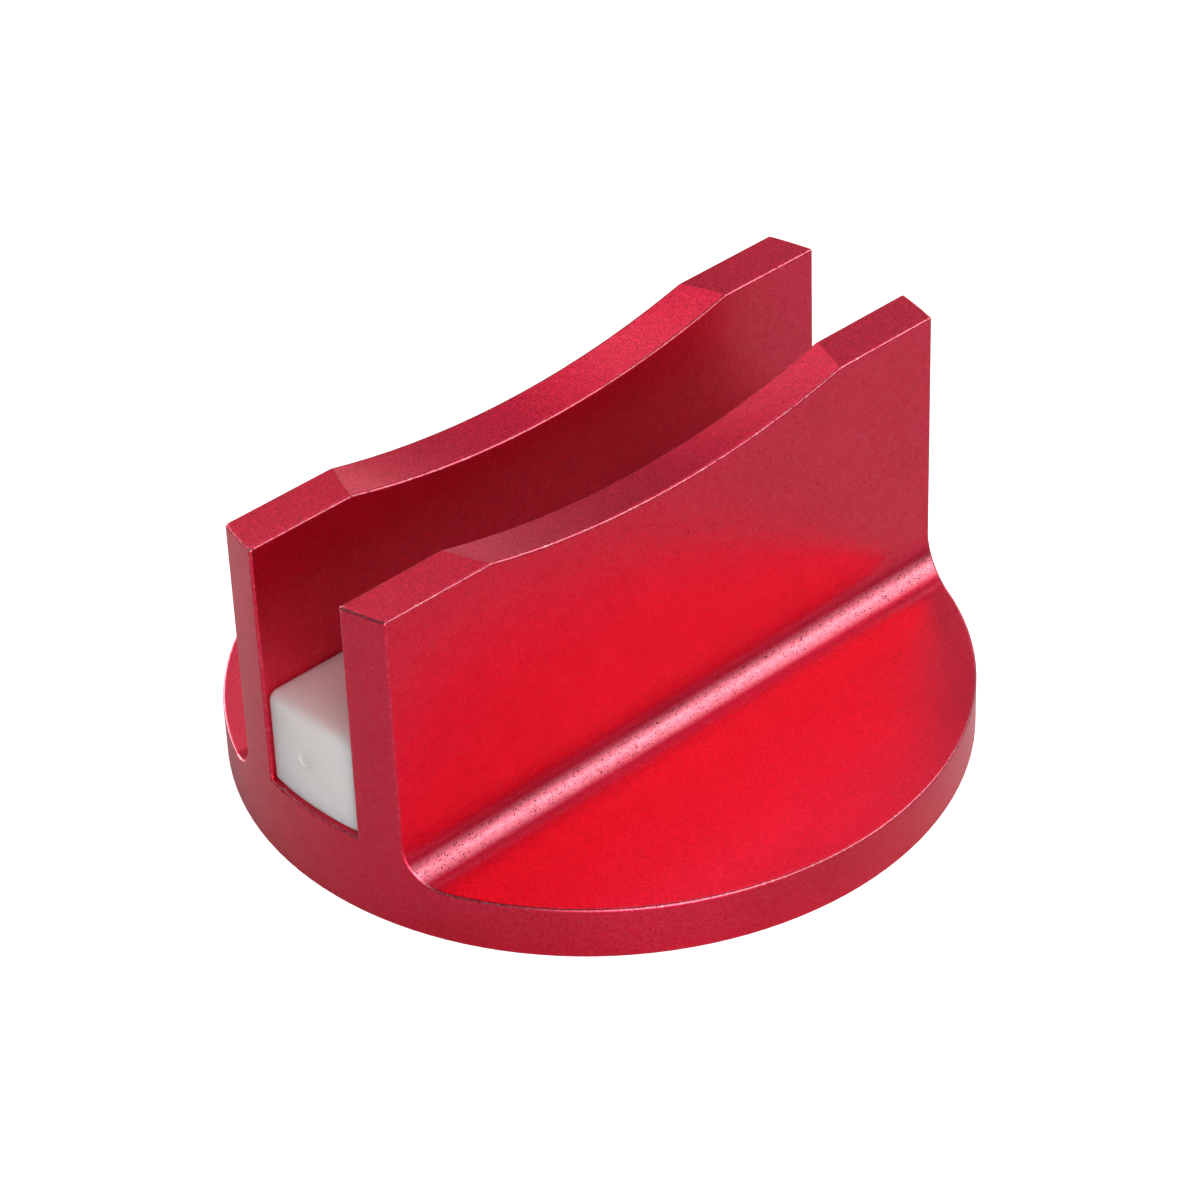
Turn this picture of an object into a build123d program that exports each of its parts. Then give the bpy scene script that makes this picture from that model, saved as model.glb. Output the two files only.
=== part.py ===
from build123d import *
from math import floor, radians, sqrt, tan
import os

# A slotted jack pad: a body turned and milled from round aluminium bar, a plastic insert that
# slides into its slot, and a ring magnet screwed into its underside. The slot runs along X,
# the two walls stand across Y, and the underside lies on Z = 0. All sizes are in millimetres.

# Body: driving dimensions
bar_diameter = 65.0
total_height = 31.0
flange_thickness = 5.0
slot_width = 10.8
wall_thickness = 4.4
slot_floor = 7.8                # height of the slot's floor above the underside
foot_radius = 3.6               # fillet where a wall meets the flange
dish_diameter = 44.0            # shallow dish turned into the wall tops
dish_sphere_radius = 83.0
edge_break = 0.25               # rounding left on the outside edges by deburring and blasting
mouth_chamfer = 0.4             # around the magnet's recess and the tapped hole

# Insert: driving dimensions
insert_height = 9.0
insert_side_gap = 0.05          # clearance to each slot wall
insert_floor_gap = 0.02         # clearance to the slot's floor
insert_end_inset = 0.45         # how far its ends lie inside the bar's round surface
insert_edge_radius = 0.35
insert_lead_in_radius = 0.9     # larger rounding on the top edge of each end
gate_mark_diameter = 1.4        # dimple where the moulding was cut from its runner
gate_mark_depth = 0.15
gate_mark_height = 4.6          # above the slot's floor
gate_mark_offset = 0.7          # to one side of the slot's middle

# Magnet: driving dimensions
magnet_diameter = 25.0
magnet_thickness = 3.0
magnet_hole_diameter = 4.5
countersink_diameter = 8.6
magnet_edge_radius = 0.3
magnet_side_gap = 0.1
magnet_inset = 0.2              # how far its face lies inside the underside

# Screw: driving dimensions, M4 x 6 countersunk with a hexagon socket
screw_diameter = 4.0
screw_length = 6.0              # overall, with the head
thread_pitch = 0.7
thread_depth = 0.38
head_diameter = 8.0
head_rim = 0.25                 # height of the narrow land around the head
socket_width = 2.5              # across the flats
socket_depth = 1.6
tapped_hole_gap = 0.05          # radial clearance, since the hole is left plain

# Worked-out sizes
bar_radius = bar_diameter / 2
wall_outer = slot_width / 2 + wall_thickness
foot_end = wall_outer + foot_radius
dish_centre = total_height + sqrt(dish_sphere_radius**2 - (dish_diameter / 2) ** 2)
insert_bottom = slot_floor + insert_floor_gap
insert_top = slot_floor + insert_height
insert_width = slot_width - 2 * insert_side_gap
insert_end_radius = bar_radius - insert_end_inset
magnet_top = magnet_inset + magnet_thickness
magnet_hole_radius = magnet_hole_diameter / 2
recess_radius = magnet_diameter / 2 + magnet_side_gap
countersink_depth = (countersink_diameter - magnet_hole_diameter) / 2      # 90 degree cone
head_face = magnet_inset + (countersink_diameter - head_diameter) / 2 - head_rim
head_end = head_face + head_rim + (head_diameter - screw_diameter) / 2
screw_end = head_face + screw_length
screw_core = screw_diameter / 2 - thread_depth
thread_turns = floor((screw_end - head_end) / thread_pitch)
socket_tip = socket_width / 2 * tan(radians(30))
tapped_hole_radius = screw_diameter / 2 + tapped_hole_gap
spare = 5.0                     # how far a cutting shape runs past what it cuts
tiny = 1e-3                     # for picking edges by their place

UP = (Align.CENTER, Align.CENTER, Align.MIN)


def cylinder_between(radius, bottom, top):
    """An upright cylinder on the Z axis between two heights."""
    return Pos(0, 0, bottom) * Cylinder(radius, top - bottom, align=UP)


def turned(outline):
    """The solid made by turning a closed outline of (radius, height) points about Z."""
    return revolve(Plane.XZ * make_face(Polyline(*outline, close=True)), Axis.Z)


# Body ----------------------------------------------------------------------------------------


def wall_section():
    """The section across the slot before the slot is cut: flange, wall block and foot fillets."""
    with BuildSketch(Plane.YZ) as section:
        with BuildLine():
            Polyline(
                (0, total_height),
                (0, 0),
                (bar_radius + spare, 0),
                (bar_radius + spare, flange_thickness),
                (foot_end, flange_thickness),
            )
            RadiusArc(
                (foot_end, flange_thickness),
                (wall_outer, flange_thickness + foot_radius),
                foot_radius,
            )
            Polyline(
                (wall_outer, flange_thickness + foot_radius),
                (wall_outer, total_height),
                (0, total_height),
            )
        make_face()
        mirror(about=Plane.YZ)
    return section.sketch


def sharp_body():
    """The turned and milled body with its edges still sharp."""
    bar = cylinder_between(bar_radius, 0, total_height)
    profile = extrude(wall_section(), amount=bar_radius + spare, both=True)
    slot = Pos(0, 0, slot_floor) * Box(
        2 * (bar_radius + spare), slot_width, total_height, align=UP
    )
    dish = Pos(0, 0, dish_centre) * Sphere(dish_sphere_radius)
    return bar & profile - slot - dish


def is_outside_edge(edge):
    """True for an edge that deburring reaches, so not for a seam, a tangent line or a corner."""
    box = edge.bounding_box()
    along_slot_floor = edge.geom_type == GeomType.LINE and box.max.Z < slot_floor + tiny
    along_foot = edge.geom_type == GeomType.LINE and (
        abs(box.max.Z - flange_thickness) < tiny
        or abs(box.max.Z - flange_thickness - foot_radius) < tiny
    )
    return not along_slot_floor and not along_foot


def body():
    """The red body, with its edges broken, the magnet's recess and the screw's tapped hole."""
    blank = sharp_body()
    blank = fillet(blank.edges().filter_by(is_outside_edge), edge_break)
    blank -= cylinder_between(recess_radius, -spare, magnet_top)
    blank -= cylinder_between(tapped_hole_radius, 0, slot_floor + spare)
    mouths = blank.edges().filter_by(
        lambda e: e.geom_type == GeomType.CIRCLE
        and (
            abs(e.radius - recess_radius) < tiny
            and abs(e.center().Z) < tiny
            or abs(e.radius - tapped_hole_radius) < tiny
            and abs(e.center().Z - slot_floor) < tiny
        )
    )
    return chamfer(mouths, mouth_chamfer)


# Insert --------------------------------------------------------------------------------------


def is_lead_in_line(edge):
    """True for the level lines where a rounded lead-in runs into the top or the end face."""
    box = edge.bounding_box()
    across = box.size.Y > insert_width / 2
    return across and box.size.Z < tiny and box.min.Z > insert_bottom + tiny


def slot_insert():
    """The white plastic block that fills the slot's lower part, with a gate mark on its -X end."""
    block = Pos(0, 0, insert_bottom) * Box(
        2 * bar_radius, insert_width, insert_top - insert_bottom, align=UP
    )
    block &= cylinder_between(insert_end_radius, 0, total_height)
    top_ends = block.edges().filter_by(GeomType.CIRCLE).group_by(Axis.Z)[-1]
    block = fillet(top_ends, insert_lead_in_radius)
    still_sharp = block.edges().filter_by(lambda edge: not is_lead_in_line(edge))
    block = fillet(still_sharp, insert_edge_radius)
    gate_start = Pos(
        -insert_end_radius - spare, gate_mark_offset, slot_floor + gate_mark_height
    )
    gate = gate_start * Rot(0, 90, 0) * Cylinder(
        gate_mark_diameter / 2, spare + gate_mark_depth, align=UP
    )
    return block - gate


# Magnet and screw ----------------------------------------------------------------------------


def ring_magnet():
    """The ring magnet, countersunk from below for its screw."""
    ring = cylinder_between(magnet_diameter / 2, magnet_inset, magnet_top)
    ring = fillet(ring.edges().filter_by(GeomType.CIRCLE), magnet_edge_radius)
    hole = turned(
        [
            (0, magnet_inset - spare),
            (countersink_diameter / 2, magnet_inset - spare),
            (countersink_diameter / 2, magnet_inset),
            (magnet_hole_radius, magnet_inset + countersink_depth),
            (magnet_hole_radius, magnet_top + spare),
            (0, magnet_top + spare),
        ]
    )
    return ring - hole


def magnet_screw():
    """The countersunk screw, with its thread simplified to rings of the same pitch and depth."""
    outline = [
        (0, head_face),
        (head_diameter / 2, head_face),
        (head_diameter / 2, head_face + head_rim),
        (screw_diameter / 2, head_end),
    ]
    for turn in range(thread_turns):
        ring_start = head_end + turn * thread_pitch
        outline.append((screw_core, ring_start + thread_pitch / 2))
        outline.append((screw_diameter / 2, ring_start + thread_pitch))
    outline.append((screw_core, screw_end))
    outline.append((0, screw_end))
    socket = Pos(0, 0, head_face - spare) * extrude(
        RegularPolygon(socket_width / 2, 6, major_radius=False), spare + socket_depth
    )
    socket += Pos(0, 0, head_face + socket_depth) * Cone(
        socket_width / 2, 0, socket_tip, align=UP
    )
    return turned(outline) - socket


nodes = {
    "body": body,
    "slot_insert": slot_insert,
    "ring_magnet": ring_magnet,
    "magnet_screw": magnet_screw,
}

if __name__ == "__main__":
    os.makedirs("parts", exist_ok=True)
    for name, make in nodes.items():
        solid = make()
        solid.label = name
        export_step(solid, f"parts/{name}.step")
        print(f"{name}: {solid.volume:.1f} mm3")
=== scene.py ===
from math import cos, radians, sin

import bpy
from mathutils import Matrix, Vector


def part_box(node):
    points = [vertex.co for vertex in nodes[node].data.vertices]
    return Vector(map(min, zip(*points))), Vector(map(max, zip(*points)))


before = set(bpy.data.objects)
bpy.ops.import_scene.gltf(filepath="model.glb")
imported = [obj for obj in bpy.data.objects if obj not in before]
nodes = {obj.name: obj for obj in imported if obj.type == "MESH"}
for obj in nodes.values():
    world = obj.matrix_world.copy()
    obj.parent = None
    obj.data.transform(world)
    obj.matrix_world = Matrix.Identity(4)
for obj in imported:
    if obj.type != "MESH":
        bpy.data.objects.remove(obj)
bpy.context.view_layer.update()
scene = bpy.context.scene
mm = 0.001

print("frame loaded:", ", ".join(sorted(nodes)))


# where things stand round the object: azimuth 0 is in front (-Y), 90 is to the right (+X)
def directionTo(azimuth, elevation):
    flat = cos(radians(elevation))
    return Vector((
        sin(radians(azimuth)) * flat,
        -cos(radians(azimuth)) * flat,
        sin(radians(elevation)),
    ))


cameraView = {
    "aim": (-0.63, -1.16, 13.21),   # mm
    "azimuth": -41.97,          # degrees, as are the next two
    "elevation": 35.74,
    "roll": -2.27,
    "distance": 368.1,          # mm
    "lens": 129.86,             # mm
    "sensor": 36,               # mm
    "nearest": 10,              # mm, nothing closer is seen
}


def makeCamera(view):
    data = bpy.data.cameras.new("camera")
    data.lens = view["lens"]
    data.sensor_width = view["sensor"]
    data.clip_start = view["nearest"] * mm
    camera = bpy.data.objects.new("camera", data)
    scene.collection.objects.link(camera)
    away = directionTo(view["azimuth"], view["elevation"])
    turn = away.to_track_quat("Z", "Y").to_matrix()
    turn = turn @ Matrix.Rotation(radians(view["roll"]), 3, "Z")
    camera.matrix_world = Matrix.Translation(
        Vector(view["aim"]) * mm + away * view["distance"] * mm
    ) @ turn.to_4x4()
    scene.camera = camera


makeCamera(cameraView)
print("camera placed")


# small helpers for building node trees
def addNode(tree, kind, **settings):
    node = tree.nodes.new(kind)
    for name, value in settings.items():
        setattr(node, name, value)
    return node


# a value is either another node's output or a plain number or colour
def feed(tree, value, socket):
    if isinstance(value, bpy.types.NodeSocket):
        tree.links.new(value, socket)
    elif socket.type == "RGBA":
        socket.default_value = (*value, 1)
    else:
        socket.default_value = value


def mathNode(tree, operation, *values):
    node = addNode(tree, "ShaderNodeMath", operation=operation)
    for slot, value in enumerate(values):
        feed(tree, value, node.inputs[slot])
    return node.outputs[0]


def rangeNode(tree, value, fromLow, fromHigh, toLow=0.0, toHigh=1.0):
    node = addNode(tree, "ShaderNodeMapRange", interpolation_type="SMOOTHSTEP")
    feed(tree, value, node.inputs["Value"])
    feed(tree, fromLow, node.inputs["From Min"])
    feed(tree, fromHigh, node.inputs["From Max"])
    feed(tree, toLow, node.inputs["To Min"])
    feed(tree, toHigh, node.inputs["To Max"])
    return node.outputs[0]


# the Mix node's colour sockets share their names with its number sockets, so go by place
mixPlaces = {"first": 6, "second": 7, "result": 2}


def mixColour(tree, factor, first, second):
    node = addNode(tree, "ShaderNodeMix", data_type="RGBA")
    feed(tree, factor, node.inputs["Factor"])
    feed(tree, first, node.inputs[mixPlaces["first"]])
    feed(tree, second, node.inputs[mixPlaces["second"]])
    return node.outputs[mixPlaces["result"]]


def noiseNode(tree, place, scale, detail=3.0, roughness=0.55):
    node = addNode(tree, "ShaderNodeTexNoise")
    feed(tree, place, node.inputs["Vector"])
    feed(tree, scale, node.inputs["Scale"])
    feed(tree, detail, node.inputs["Detail"])
    feed(tree, roughness, node.inputs["Roughness"])
    return node.outputs["Fac"]


def objectPlace(tree):
    return addNode(tree, "ShaderNodeTexCoord").outputs["Object"]


def splitVector(tree, vector):
    node = addNode(tree, "ShaderNodeSeparateXYZ")
    feed(tree, vector, node.inputs["Vector"])
    return node.outputs


def startGroup(name, inputs, outputs):
    group = bpy.data.node_groups.new(name, "ShaderNodeTree")
    for label, value in inputs.items():
        socket = group.interface.new_socket(
            label, in_out="INPUT", socket_type="NodeSocketFloat"
        )
        socket.default_value = value
    for label in outputs:
        group.interface.new_socket(label, in_out="OUTPUT", socket_type="NodeSocketFloat")
    start = addNode(group, "NodeGroupInput")
    end = addNode(group, "NodeGroupOutput")
    return group, start.outputs, end.inputs


def placeGroup(tree, group, values):
    node = addNode(tree, "ShaderNodeGroup", node_tree=group)
    for label, value in values.items():
        feed(tree, value, node.inputs[label])
    return node.outputs


def startMaterial(name):
    material = bpy.data.materials.new(name)
    material.use_nodes = True
    tree = material.node_tree
    shader = tree.nodes["Principled BSDF"]
    return material, tree, shader


def bumpNode(tree, height, distance):
    node = addNode(tree, "ShaderNodeBump")
    feed(tree, 1.0, node.inputs["Strength"])
    feed(tree, distance, node.inputs["Distance"])
    feed(tree, height, node.inputs["Height"])
    return node.outputs["Normal"]


def dress(piece, material):
    piece.data.materials.clear()
    piece.data.materials.append(material)


# blasted or moulded grain: two sizes of bumps, bright specks and dark pits on some, slow mottling
grainShape = {
    "coarseRatio": 0.31,        # coarse bumps in a row for each fine one
    "coarseShare": 0.8,         # and how high they are against it
    "speckRatio": 1.5,          # specks are smaller than the bumps
    "mottlePerMetre": 160.0,
    "mottleRange": (0.3, 0.7),
}


def makeGrainGroup(shape):
    group, start, end = startGroup(
        "surfaceGrain",
        {"Scale": 5000.0, "Speck Share": 0.1, "Pit Share": 0.02},
        ("Height", "Cells", "Specks", "Pits", "Mottle"),
    )
    place = objectPlace(group)
    fine = noiseNode(group, place, start["Scale"], detail=2.0, roughness=0.6)
    coarseScale = mathNode(group, "MULTIPLY", start["Scale"], shape["coarseRatio"])
    coarse = noiseNode(group, place, coarseScale, detail=2.0)
    coarsePart = mathNode(group, "MULTIPLY", coarse, shape["coarseShare"])
    bumps = mathNode(group, "ADD", fine, coarsePart)

    # every cell draws three random numbers: is it a speck, how bright it is, is it a pit
    cells = addNode(group, "ShaderNodeTexVoronoi", feature="F1")
    feed(group, place, cells.inputs["Vector"])
    speckScale = mathNode(group, "MULTIPLY", start["Scale"], shape["speckRatio"])
    feed(group, speckScale, cells.inputs["Scale"])
    drawn = addNode(group, "ShaderNodeSeparateColor")
    feed(group, cells.outputs["Color"], drawn.inputs["Color"])
    isSpeck = mathNode(group, "LESS_THAN", drawn.outputs["Red"], start["Speck Share"])
    brightness = drawn.outputs["Green"]
    isPit = mathNode(group, "LESS_THAN", drawn.outputs["Blue"], start["Pit Share"])

    mottle = noiseNode(group, place, shape["mottlePerMetre"], detail=4.0, roughness=0.6)
    feed(group, mathNode(group, "SUBTRACT", bumps, isPit), end["Height"])
    feed(group, brightness, end["Cells"])
    feed(group, mathNode(group, "MULTIPLY", isSpeck, brightness), end["Specks"])
    feed(group, isPit, end["Pits"])
    feed(group, rangeNode(group, mottle, *shape["mottleRange"]), end["Mottle"])
    return group


# wear on convex edges, found by how many short rays sent inwards meet no other face
edgeShape = {
    "rays": 8,
    "openRange": (0.93, 0.6),   # share of open rays where wear begins and where it is full
    "breakupRange": (0.38, 0.6),
    "chipRange": (0.57, 0.62),
}


def makeEdgeGroup(shape):
    group, start, end = startGroup(
        "edgeWear",
        {"Reach": 0.0004, "Breakup Scale": 900.0},
        ("Edge", "Chips"),
    )
    inner = addNode(
        group, "ShaderNodeAmbientOcclusion", samples=shape["rays"], inside=True, only_local=True
    )
    feed(group, start["Reach"], inner.inputs["Distance"])
    edge = rangeNode(group, inner.outputs["AO"], *shape["openRange"])
    breakup = noiseNode(
        group, objectPlace(group), start["Breakup Scale"], detail=4.0, roughness=0.65
    )
    worn = rangeNode(group, breakup, *shape["breakupRange"])
    chipped = rangeNode(group, breakup, *shape["chipRange"])
    feed(group, mathNode(group, "MULTIPLY", edge, worn), end["Edge"])
    feed(group, mathNode(group, "MULTIPLY", edge, chipped), end["Chips"])
    return group


# faint smudges and fine scratches left by handling
handlingShape = {
    "smudgeRange": (0.42, 0.7),
    "scratchTurn": (0.4, 0.9, 0.7),     # radians, off the piece's own axes
    "scratchStretch": (1, 18, 18),      # scratches are this much longer than they are wide
    "scratchRange": (0.66, 0.72),
}


def makeHandlingGroup(shape):
    group, start, end = startGroup(
        "handlingMarks",
        {"Smudge Scale": 90.0, "Scratch Scale": 60.0},
        ("Smudges", "Scratches"),
    )
    place = objectPlace(group)
    smudge = noiseNode(group, place, start["Smudge Scale"], detail=5.0, roughness=0.62)
    stretch = addNode(group, "ShaderNodeMapping")
    feed(group, shape["scratchTurn"], stretch.inputs["Rotation"])
    feed(group, shape["scratchStretch"], stretch.inputs["Scale"])
    feed(group, place, stretch.inputs["Vector"])
    streaks = noiseNode(group, stretch.outputs["Vector"], start["Scratch Scale"], detail=2.0)
    feed(group, rangeNode(group, smudge, *shape["smudgeRange"]), end["Smudges"])
    feed(group, rangeNode(group, streaks, *shape["scratchRange"]), end["Scratches"])
    return group


# rings left by a lathe tool on faces that look up or down, round the upright axis
turningShape = {
    "ringDetail": 2.0,
    "levelRange": (0.85, 0.97),     # the upright part of the normal, from sloping to level
}


def makeTurningGroup(shape):
    group, start, end = startGroup(
        "turningMarks",
        {"Rings Per Metre": 5000.0},
        ("Rings", "Level"),
    )
    coordinates = addNode(group, "ShaderNodeTexCoord").outputs
    place = splitVector(group, coordinates["Object"])
    squares = [mathNode(group, "MULTIPLY", place[axis], place[axis]) for axis in "XY"]
    radius = mathNode(group, "SQRT", mathNode(group, "ADD", *squares))
    rings = addNode(group, "ShaderNodeTexNoise", noise_dimensions="1D")
    feed(group, radius, rings.inputs["W"])
    feed(group, start["Rings Per Metre"], rings.inputs["Scale"])
    feed(group, shape["ringDetail"], rings.inputs["Detail"])
    upright = mathNode(group, "ABSOLUTE", splitVector(group, coordinates["Normal"])["Z"])
    level = rangeNode(group, upright, *shape["levelRange"])
    feed(group, mathNode(group, "MULTIPLY", rings.outputs["Fac"], level), end["Rings"])
    feed(group, level, end["Level"])
    return group


# where a rounded corner gets a painted highlight: most where it tilts 45 degrees, and the sine of
# twice its tilt is 1
def makeCornerGroup():
    group, start, end = startGroup(
        "tiltedCorners",
        {"From": 0.55, "To": 0.97},
        ("Corner",),
    )
    normal = addNode(group, "ShaderNodeTexCoord").outputs["Normal"]
    up = splitVector(group, normal)["Z"]
    upSquared = mathNode(group, "MULTIPLY", up, up)
    flatSquared = mathNode(group, "SUBTRACT", 1.0, upSquared)
    product = mathNode(group, "MULTIPLY", upSquared, flatSquared)
    sineOfTwice = mathNode(group, "MULTIPLY", 2.0, mathNode(group, "SQRT", product))
    feed(group, rangeNode(group, sineOfTwice, start["From"], start["To"]), end["Corner"])
    return group


grainGroup = makeGrainGroup(grainShape)
edgeGroup = makeEdgeGroup(edgeShape)
handlingGroup = makeHandlingGroup(handlingShape)
turningGroup = makeTurningGroup(turningShape)
cornerGroup = makeCornerGroup()
print("effect groups built")


redFinish = {
    "colour": (0.84, 0.010, 0.061),
    "deepColour": (0.80, 0.007, 0.050),     # the darker side of the slow mottling
    "cornerHighlightColour": (0.92, 0.24, 0.32),     # painted highlight along rounded corners that tilt 45 degrees
    "speckColour": (0.97, 0.30, 0.38),
    "pitColour": (0.10, 0.002, 0.008),
    "grainDark": (0.42, 0.002, 0.018),      # the sparkle on turned faces, from darkest
    "grainLight": (1.0, 0.018, 0.08),       # to brightest
    "rubbedColour": (0.95, 0.34, 0.40),
    "bareMetal": (0.98, 0.84, 0.85),
    "roughness": 0.37,
    "smudgeRoughness": 0.05,    # added
    "edgePolish": 0.08,         # taken away along worn edges
    "coat": 0.9,
    "coatRoughness": 0.21,
    "coatIor": 1.45,
    "peakRange": (0.6, 1.1),    # grain heights between which the coat gets thinner
    "peakCoat": 0.55,           # share of it left on the peaks
    "grainPerMetre": 7000.0,
    "grainDepth": 0.000012,     # metres
    "speckShare": 0.25,         # how many cells of the grain are specks
    "speckStrength": 0.14,
    "pitShare": 0.06,
    "flatPits": 0.25,           # how dark pits are on flat faces
    "cornerPits": 0.95,         # and in the corners
    "ringsPerMetre": 3500.0,
    "ringHeight": 0.25,         # of the grain's
    "changeOver": 2,            # mm above half height, where the next values go from flange to dish
    "flangeSparkle": 0.35,      # how much the flange and underside sparkle
    "dishSparkle": 0.75,        # and the dish and wall tops, which are coarser
    "flangeMatting": 0.1,       # share of the coat lost on the flange
    "dishMatting": 0.5,
    "cornerRange": (0.78, 0.995),   # sine of twice the tilt, from no corner to a full one
    "cornerGrain": (0.5, 1.15),     # grain heights between which the painted highlight line comes and goes
    "cornerLeast": 0.45,        # what is left of it in the grain's hollows
    "edgeBreakup": 0.8,         # how far worn patches interrupt the painted highlight line along an edge
    "wearReach": 0.0005,        # metres
    "wearPerMetre": 2400.0,
    "rubbing": 0.15,
    "flatChips": 0.15,          # how bright chips are on edges that don't tilt
    "chipDepth": 0.6,           # of the grain's
    "smudgesPerMetre": 70.0,
}


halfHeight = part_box("body")[1][2] / 2


# a value for the flange below half height, and another for the dish and wall tops above it
def byHeight(tree, look, flangeValue, dishValue):
    height = splitVector(tree, objectPlace(tree))["Z"]
    above = halfHeight + look["changeOver"] * mm
    return rangeNode(tree, height, halfHeight, above, flangeValue, dishValue)


def redColour(tree, look, grain, edges, turned, corners):
    tone = mixColour(tree, grain["Mottle"], look["deepColour"], look["colour"])
    speckShare = mathNode(tree, "MULTIPLY", grain["Specks"], look["speckStrength"])
    specked = mixColour(tree, speckShare, tone, look["speckColour"])

    # turned faces sparkle, the higher ones more
    sparkleTone = mixColour(tree, grain["Cells"], look["grainDark"], look["grainLight"])
    coarseness = byHeight(tree, look, look["flangeSparkle"], look["dishSparkle"])
    sparkleShare = mathNode(tree, "MULTIPLY", turned["Level"], coarseness)
    grained = mixColour(tree, sparkleShare, specked, sparkleTone)

    # a painted highlight along rounded corners, broken by the grain and by wear
    highlightBreakup = rangeNode(tree, grain["Height"], *look["cornerGrain"], look["cornerLeast"])
    highlightShare = mathNode(tree, "MULTIPLY", corners["Corner"], highlightBreakup)
    interrupted = mathNode(tree, "MULTIPLY", edges["Edge"], look["edgeBreakup"])
    highlightShare = mathNode(tree, "MULTIPLY", highlightShare, mathNode(tree, "SUBTRACT", 1.0, interrupted))
    highlighted = mixColour(tree, highlightShare, grained, look["cornerHighlightColour"])

    # pits and chips show most in the corners
    pitStrength = rangeNode(tree, corners["Corner"], 0.0, 1.0, look["flatPits"], look["cornerPits"])
    pitShare = mathNode(tree, "MULTIPLY", grain["Pits"], pitStrength)
    pitted = mixColour(tree, pitShare, highlighted, look["pitColour"])
    rubbedShare = mathNode(tree, "MULTIPLY", edges["Edge"], look["rubbing"])
    rubbed = mixColour(tree, rubbedShare, pitted, look["rubbedColour"])
    chipStrength = rangeNode(tree, corners["Corner"], 0.0, 1.0, look["flatChips"])
    chipShare = mathNode(tree, "MULTIPLY", edges["Chips"], chipStrength)
    return mixColour(tree, chipShare, rubbed, look["bareMetal"])


def redRoughness(tree, look, edges, marks):
    smudged = mathNode(tree, "MULTIPLY", marks["Smudges"], look["smudgeRoughness"])
    rough = mathNode(tree, "ADD", smudged, look["roughness"])
    polished = mathNode(tree, "MULTIPLY", edges["Edge"], look["edgePolish"])
    return mathNode(tree, "SUBTRACT", rough, polished)


# the dyed layer is thinner over the grain's peaks and on turned faces, and gone in pits and chips
def redCoat(tree, look, grain, edges, turned):
    peakCoat = look["coat"] * look["peakCoat"]
    thickness = rangeNode(tree, grain["Height"], *look["peakRange"], look["coat"], peakCoat)
    lost = mathNode(tree, "MAXIMUM", edges["Chips"], grain["Pits"])
    matting = byHeight(tree, look, look["flangeMatting"], look["dishMatting"])
    matted = mathNode(tree, "MULTIPLY", turned["Level"], matting)
    left = mathNode(tree, "SUBTRACT", 1.0, mathNode(tree, "MAXIMUM", lost, matted))
    return mathNode(tree, "MULTIPLY", thickness, left)


def redRelief(tree, look, grain, edges, turned):
    dents = mathNode(tree, "MULTIPLY", edges["Chips"], look["chipDepth"])
    relief = mathNode(tree, "SUBTRACT", grain["Height"], dents)
    rings = mathNode(tree, "MULTIPLY", turned["Rings"], look["ringHeight"])
    return bumpNode(tree, mathNode(tree, "ADD", relief, rings), look["grainDepth"])


def makeRedFinish(look):
    material, tree, shader = startMaterial("redAnodised")
    grain = placeGroup(tree, grainGroup, {
        "Scale": look["grainPerMetre"],
        "Speck Share": look["speckShare"],
        "Pit Share": look["pitShare"],
    })
    edges = placeGroup(tree, edgeGroup, {
        "Reach": look["wearReach"],
        "Breakup Scale": look["wearPerMetre"],
    })
    marks = placeGroup(tree, handlingGroup, {"Smudge Scale": look["smudgesPerMetre"]})
    turned = placeGroup(tree, turningGroup, {"Rings Per Metre": look["ringsPerMetre"]})
    cornerFrom, cornerTo = look["cornerRange"]
    corners = placeGroup(tree, cornerGroup, {"From": cornerFrom, "To": cornerTo})

    colour = redColour(tree, look, grain, edges, turned, corners)
    feed(tree, colour, shader.inputs["Base Color"])
    feed(tree, 1.0, shader.inputs["Metallic"])
    feed(tree, redRoughness(tree, look, edges, marks), shader.inputs["Roughness"])
    feed(tree, redCoat(tree, look, grain, edges, turned), shader.inputs["Coat Weight"])
    feed(tree, look["coatRoughness"], shader.inputs["Coat Roughness"])
    feed(tree, look["coatIor"], shader.inputs["Coat IOR"])
    feed(tree, redRelief(tree, look, grain, edges, turned), shader.inputs["Normal"])
    return material


nylonFinish = {
    "colour": (0.89, 0.86, 0.84),
    "shadeColour": (0.85, 0.81, 0.79),
    "roughness": 0.40,
    "smudgeRoughness": 0.12,
    "translucency": 0.9,
    "scatterDepth": 0.004,      # metres
    "scatterColours": (1.0, 0.85, 0.75),    # red light goes deepest
    "grainPerMetre": 2600.0,
    "grainDepth": 0.00001,      # metres
    "scratchDepth": 1.2,        # of the grain's
    "wearReach": 0.0005,        # metres
    "wearPerMetre": 700.0,
    "smudgesPerMetre": 130.0,
    "scratchesPerMetre": 80.0,
}


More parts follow.
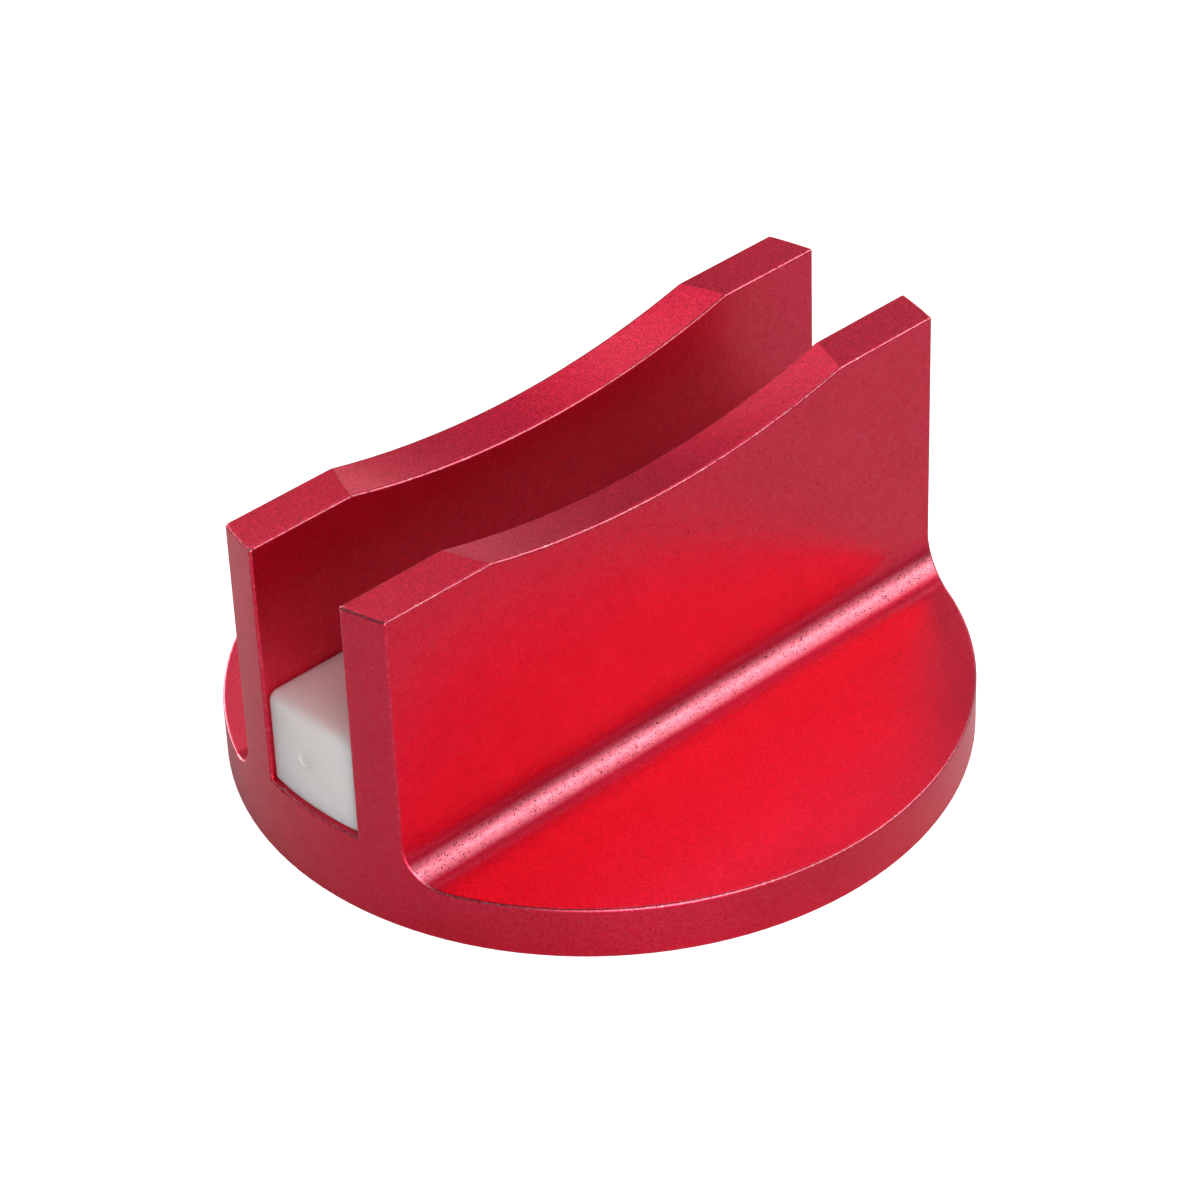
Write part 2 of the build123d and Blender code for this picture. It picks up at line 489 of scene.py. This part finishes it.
def makeNylonFinish(look):
    material, tree, shader = startMaterial("whiteNylon")
    grain = placeGroup(tree, grainGroup, {"Scale": look["grainPerMetre"]})
    edges = placeGroup(tree, edgeGroup, {
        "Reach": look["wearReach"],
        "Breakup Scale": look["wearPerMetre"],
    })
    marks = placeGroup(tree, handlingGroup, {
        "Smudge Scale": look["smudgesPerMetre"],
        "Scratch Scale": look["scratchesPerMetre"],
    })

    tone = mixColour(tree, grain["Mottle"], look["shadeColour"], look["colour"])
    feed(tree, tone, shader.inputs["Base Color"])
    feed(tree, look["translucency"], shader.inputs["Subsurface Weight"])
    feed(tree, look["scatterColours"], shader.inputs["Subsurface Radius"])
    feed(tree, look["scatterDepth"], shader.inputs["Subsurface Scale"])

    smudged = mathNode(tree, "MULTIPLY", marks["Smudges"], look["smudgeRoughness"])
    feed(tree, mathNode(tree, "ADD", smudged, look["roughness"]), shader.inputs["Roughness"])

    scratches = mathNode(tree, "MULTIPLY", marks["Scratches"], look["scratchDepth"])
    height = mathNode(tree, "SUBTRACT", grain["Height"], scratches)
    height = mathNode(tree, "SUBTRACT", height, edges["Chips"])
    feed(tree, bumpNode(tree, height, look["grainDepth"]), shader.inputs["Normal"])
    return material


nickelFinish = {
    "colour": (0.74, 0.71, 0.66),
    "edgeColour": (0.86, 0.84, 0.80),
    "roughness": 0.2,
    "grainPerMetre": 3000.0,
    "grainDepth": 0.000004,     # metres
    "ringHeight": 0.3,          # of the grain's
}

steelFinish = {
    "colour": (0.50, 0.50, 0.51),
    "edgeColour": (0.68, 0.68, 0.69),
    "roughness": 0.32,
    "grainPerMetre": 5000.0,
    "grainDepth": 0.000006,     # metres
    "ringHeight": 1.6,          # the head was turned
}

# the same on the magnet and its screw
platedWear = {
    "shade": 0.82,              # of the colour, on the darker side of the mottling
    "smudgeRoughness": 0.12,
    "scratchDepth": 1.5,        # of the grain's
    "ringsPerMetre": 5000.0,
    "reach": 0.0003,            # metres
    "wearPerMetre": 1500.0,
    "smudgesPerMetre": 200.0,
    "scratchesPerMetre": 120.0,
}


def makePlatedFinish(name, look, wear):
    material, tree, shader = startMaterial(name)
    grain = placeGroup(tree, grainGroup, {"Scale": look["grainPerMetre"]})
    edges = placeGroup(tree, edgeGroup, {
        "Reach": wear["reach"],
        "Breakup Scale": wear["wearPerMetre"],
    })
    marks = placeGroup(tree, handlingGroup, {
        "Smudge Scale": wear["smudgesPerMetre"],
        "Scratch Scale": wear["scratchesPerMetre"],
    })
    turned = placeGroup(tree, turningGroup, {"Rings Per Metre": wear["ringsPerMetre"]})

    shade = tuple(wear["shade"] * part for part in look["colour"])
    tone = mixColour(tree, grain["Mottle"], shade, look["colour"])
    feed(tree, mixColour(tree, edges["Edge"], tone, look["edgeColour"]), shader.inputs["Base Color"])
    feed(tree, 1.0, shader.inputs["Metallic"])

    smudged = mathNode(tree, "MULTIPLY", marks["Smudges"], wear["smudgeRoughness"])
    feed(tree, mathNode(tree, "ADD", smudged, look["roughness"]), shader.inputs["Roughness"])

    scratches = mathNode(tree, "MULTIPLY", marks["Scratches"], wear["scratchDepth"])
    height = mathNode(tree, "SUBTRACT", grain["Height"], scratches)
    rings = mathNode(tree, "MULTIPLY", turned["Rings"], look["ringHeight"])
    bump = bumpNode(tree, mathNode(tree, "ADD", height, rings), look["grainDepth"])
    feed(tree, bump, shader.inputs["Normal"])
    return material


dress(nodes["body"], makeRedFinish(redFinish))
dress(nodes["slot_insert"], makeNylonFinish(nylonFinish))
dress(nodes["ring_magnet"], makePlatedFinish("nickelPlate", nickelFinish, platedWear))
dress(nodes["magnet_screw"], makePlatedFinish("screwSteel", steelFinish, platedWear))
print("materials made")


floorLook = {
    "size": 3.0,                # metres
    "colour": (0.70, 0.70, 0.70),
    "shade": 0.98,              # of the colour, in the darker patches
    "patchesPerMetre": 40.0,
    "roughness": 0.7,
    "specular": 0.1,
    "lift": 0.92,               # added where the camera sees the floor, so it comes out near white
}


def makeFloor(look):
    material, tree, shader = startMaterial("paleFloor")
    patches = noiseNode(tree, objectPlace(tree), look["patchesPerMetre"])
    shade = tuple(look["shade"] * part for part in look["colour"])
    feed(tree, mixColour(tree, patches, shade, look["colour"]), shader.inputs["Base Color"])
    feed(tree, look["roughness"], shader.inputs["Roughness"])
    feed(tree, look["specular"], shader.inputs["Specular IOR Level"])
    looking = addNode(tree, "ShaderNodeLightPath").outputs["Is Camera Ray"]
    feed(tree, mixColour(tree, looking, (0, 0, 0), (1, 1, 1)), shader.inputs["Emission Color"])
    feed(tree, look["lift"], shader.inputs["Emission Strength"])
    bpy.ops.mesh.primitive_plane_add(size=look["size"])
    floor = bpy.context.object
    floor.name = "floor"
    dress(floor, material)


# softboxes that face the object: degrees round and up, side in metres, power in watts
studioLights = {
    "frontLow": {"azimuth": 330, "elevation": 12, "side": 0.42, "power": 5.8},
    "front": {"azimuth": 0, "elevation": 37, "side": 0.42, "power": 1.9},
    "overCamera": {"azimuth": 318, "elevation": 48, "side": 0.30, "power": 0.15},
    "key": {"azimuth": 42, "elevation": 35, "side": 0.18, "power": 0.7},
    "rightFill": {"azimuth": 68, "elevation": 37, "side": 0.42, "power": 1.3},
    "backRight": {"azimuth": 120, "elevation": 12, "side": 0.42, "power": 1.0},
    "top": {"azimuth": 120, "elevation": 62, "side": 0.42, "power": 0.75},
    "back": {"azimuth": 155, "elevation": 47, "side": 0.32, "power": 0.55},
    "leftBack": {"azimuth": 224, "elevation": 35, "side": 0.30, "power": 0.25},
    "backLow": {"azimuth": 180, "elevation": 12, "side": 0.42, "power": 3.0},
}

lightDistance = 0.9             # metres


def makeLight(name, look):
    data = bpy.data.lights.new(name, "AREA")
    data.shape = "SQUARE"
    data.size = look["side"]
    data.energy = look["power"]
    light = bpy.data.objects.new(name, data)
    scene.collection.objects.link(light)
    away = directionTo(look["azimuth"], look["elevation"])
    light.location = away * lightDistance
    light.rotation_euler = away.to_track_quat("Z", "Y").to_euler()
    light.visible_camera = False


# the camera sees a white backdrop, and the object only a faint fill
worldLook = {"shown": 1.0, "fill": 0.08}


def makeWorld(look):
    world = bpy.data.worlds.new("studio")
    world.use_nodes = True
    tree = world.node_tree
    background = tree.nodes["Background"]
    feed(tree, (1, 1, 1), background.inputs["Color"])
    looking = addNode(tree, "ShaderNodeLightPath").outputs["Is Camera Ray"]
    extra = mathNode(tree, "MULTIPLY", looking, look["shown"] - look["fill"])
    feed(tree, mathNode(tree, "ADD", extra, look["fill"]), background.inputs["Strength"])
    scene.world = world


makeFloor(floorLook)
for name, look in studioLights.items():
    makeLight(name, look)
makeWorld(worldLook)
scene.view_settings.view_transform = "Standard"
print("floor and lights placed")
